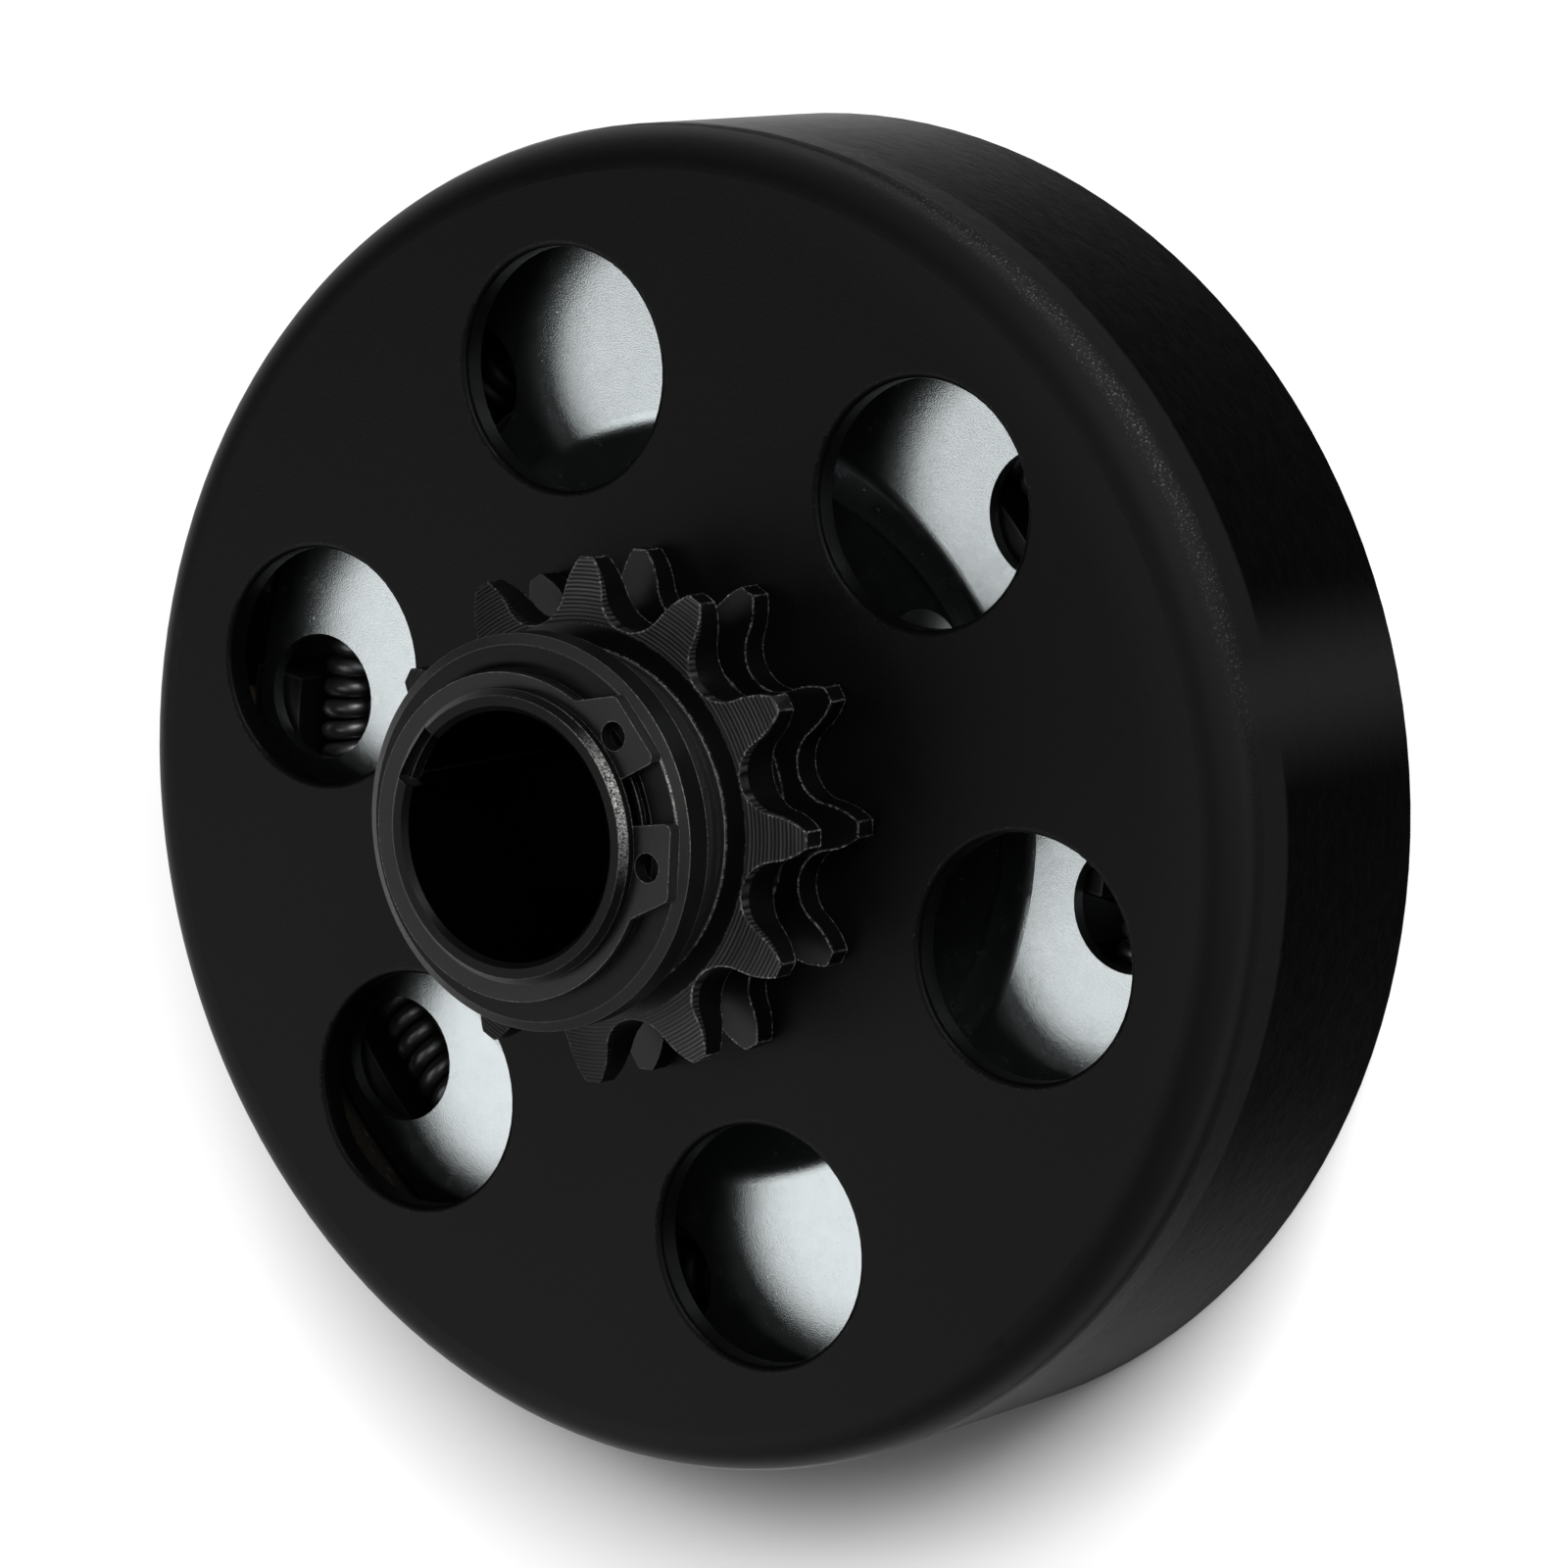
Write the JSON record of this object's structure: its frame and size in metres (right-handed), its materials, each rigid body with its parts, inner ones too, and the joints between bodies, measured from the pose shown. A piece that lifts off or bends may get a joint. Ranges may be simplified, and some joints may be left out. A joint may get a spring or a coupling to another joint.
{
  "type": "centrifugal clutch",
  "caption": "Dry centrifugal clutch for a small engine: bored hub with sliding shoes inside a windowed drum that carries a chain sprocket.",
  "frame": {"origin": "on the shaft axis, in the plane of the drum's open rim, on which the clutch stands", "axes": "+Z along the shaft from the open rim to the sprocket, +Y through the middle of one drum window"},
  "size_m": [0.105, 0.105, 0.0441],
  "materials": {
    "drum_black": "satin black, lightly brushed side",
    "sprocket_black": "black oxide with turned bevels",
    "bronze": "oiled sintered bronze",
    "hub_black": "black oxide, bright at the edges",
    "washer_black": "black oxide",
    "ring_black": "phosphated spring steel",
    "zinc_plate": "bluish zinc plating",
    "rivet_steel": "zinc plated",
    "shoe_iron": "sintered iron",
    "lining": "moulded friction material",
    "spring_steel": "oil tempered wire"
  },
  "bodies": {
    "hub_assembly": {"hub": "hub_black", "front_washer": "washer_black", "inner_thrust_washer": "washer_black", "retaining_ring": "ring_black", "front_cover_plate": "zinc_plate", "rear_cover_plate": "zinc_plate", "garter_spring": "spring_steel", "rivet_1": "rivet_steel", "rivet_2": "rivet_steel", "rivet_3": "rivet_steel", "rivet_4": "rivet_steel"},
    "drum_assembly": {"drum": "drum_black", "sprocket": "sprocket_black", "bushing": "bronze"},
    "shoe_assembly_1": {"shoe_1": "shoe_iron", "lining_1": "lining"},
    "shoe_assembly_2": {"shoe_2": "shoe_iron", "lining_2": "lining"},
    "shoe_assembly_3": {"shoe_3": "shoe_iron", "lining_3": "lining"},
    "shoe_assembly_4": {"shoe_4": "shoe_iron", "lining_4": "lining"}
  },
  "joints": [
    {"name": "drum_spin", "type": "hinge", "parent": "hub_assembly", "child": "drum_assembly", "pos_m": [0, 0, 0.03], "axis": [0, 0, 1], "continuous": true},
    {"name": "shoe_1_slide", "type": "slide", "parent": "hub_assembly", "child": "shoe_assembly_1", "axis": [0.9472, 0.3206, 0], "range_m": [0, 0.001], "stiffness_N_per_m": 1500, "springref_m": -0.001, "deforming": ["garter_spring"]},
    {"name": "shoe_2_slide", "type": "slide", "parent": "hub_assembly", "child": "shoe_assembly_2", "axis": [-0.3206, 0.9472, 0], "range_m": [0, 0.001], "stiffness_N_per_m": 1500, "springref_m": -0.001},
    {"name": "shoe_3_slide", "type": "slide", "parent": "hub_assembly", "child": "shoe_assembly_3", "axis": [-0.9472, -0.3206, 0], "range_m": [0, 0.001], "stiffness_N_per_m": 1500, "springref_m": -0.001},
    {"name": "shoe_4_slide", "type": "slide", "parent": "hub_assembly", "child": "shoe_assembly_4", "axis": [0.3206, -0.9472, 0], "range_m": [0, 0.001], "stiffness_N_per_m": 1500, "springref_m": -0.001}
  ],
  "couplings": [
    {"joint": "shoe_2_slide", "follows": "shoe_1_slide", "ratio": 1},
    {"joint": "shoe_3_slide", "follows": "shoe_1_slide", "ratio": 1},
    {"joint": "shoe_4_slide", "follows": "shoe_1_slide", "ratio": 1}
  ]
}
